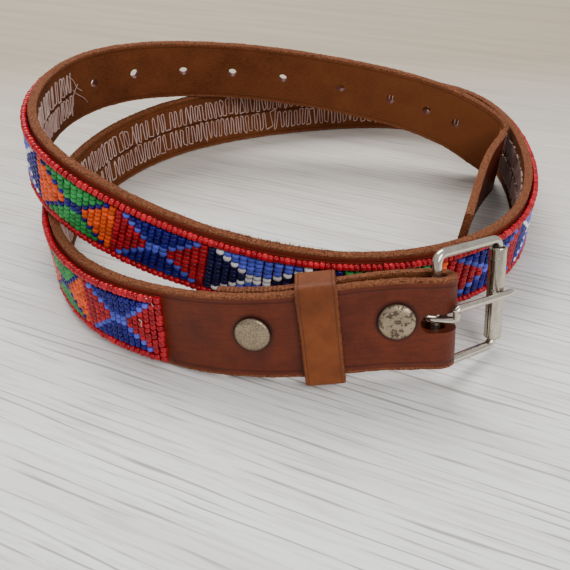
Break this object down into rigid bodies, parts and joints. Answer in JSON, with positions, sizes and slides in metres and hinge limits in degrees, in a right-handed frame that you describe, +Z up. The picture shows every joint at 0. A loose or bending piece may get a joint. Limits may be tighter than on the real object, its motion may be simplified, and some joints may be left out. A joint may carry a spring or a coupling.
{
  "type": "beaded belt",
  "caption": "Leather belt with a sewn field of seed beads, two rivets, a leather keeper and a roller buckle, coiled in two loose turns on its edge.",
  "frame": {"origin": "bottom centre of the whole belt as it rests on its edge", "axes": "+Z up, the buckle's side towards -Y, +X to the right of a viewer who faces the buckle's side"},
  "size_m": [0.2122, 0.2062, 0.059],
  "materials": {
    "strap_leather": "smooth grain outside, brown flesh side and fuzzy cut edges",
    "keeper_leather": "tan grain",
    "field_beads": "opaque glossy seed beads in blue, red, green, orange and white",
    "border_beads": "opaque glossy red seed beads",
    "nickel": "worn nickel plate"
  },
  "bodies": {
    "belt": {"strap": "strap_leather", "bead_field": "field_beads", "bead_border_upper": "border_beads", "bead_border_lower": "border_beads", "keeper": "keeper_leather", "rivet_1": "nickel", "rivet_2": "nickel"},
    "buckle": {"buckle_frame": "nickel"},
    "roller_tube": {"roller": "nickel"},
    "buckle_tongue": {"tongue": "nickel"}
  },
  "joints": [
    {"name": "buckle_swing", "type": "hinge", "parent": "belt", "child": "buckle", "pos_m": [0.04125, -0.09219, 0.02206], "axis": [-0.0385, 0.3295, 0.9434], "range_deg": [-30, 15]},
    {"name": "tongue_pivot", "type": "hinge", "parent": "buckle", "child": "buckle_tongue", "pos_m": [0.04125, -0.09219, 0.02206], "axis": [-0.0385, 0.3295, 0.9434], "range_deg": [-30, 0]},
    {"name": "roller_spin", "type": "hinge", "parent": "buckle", "child": "roller_tube", "pos_m": [0.06372, -0.0778, 0.01795], "axis": [-0.0385, 0.3295, 0.9434], "continuous": true}
  ]
}
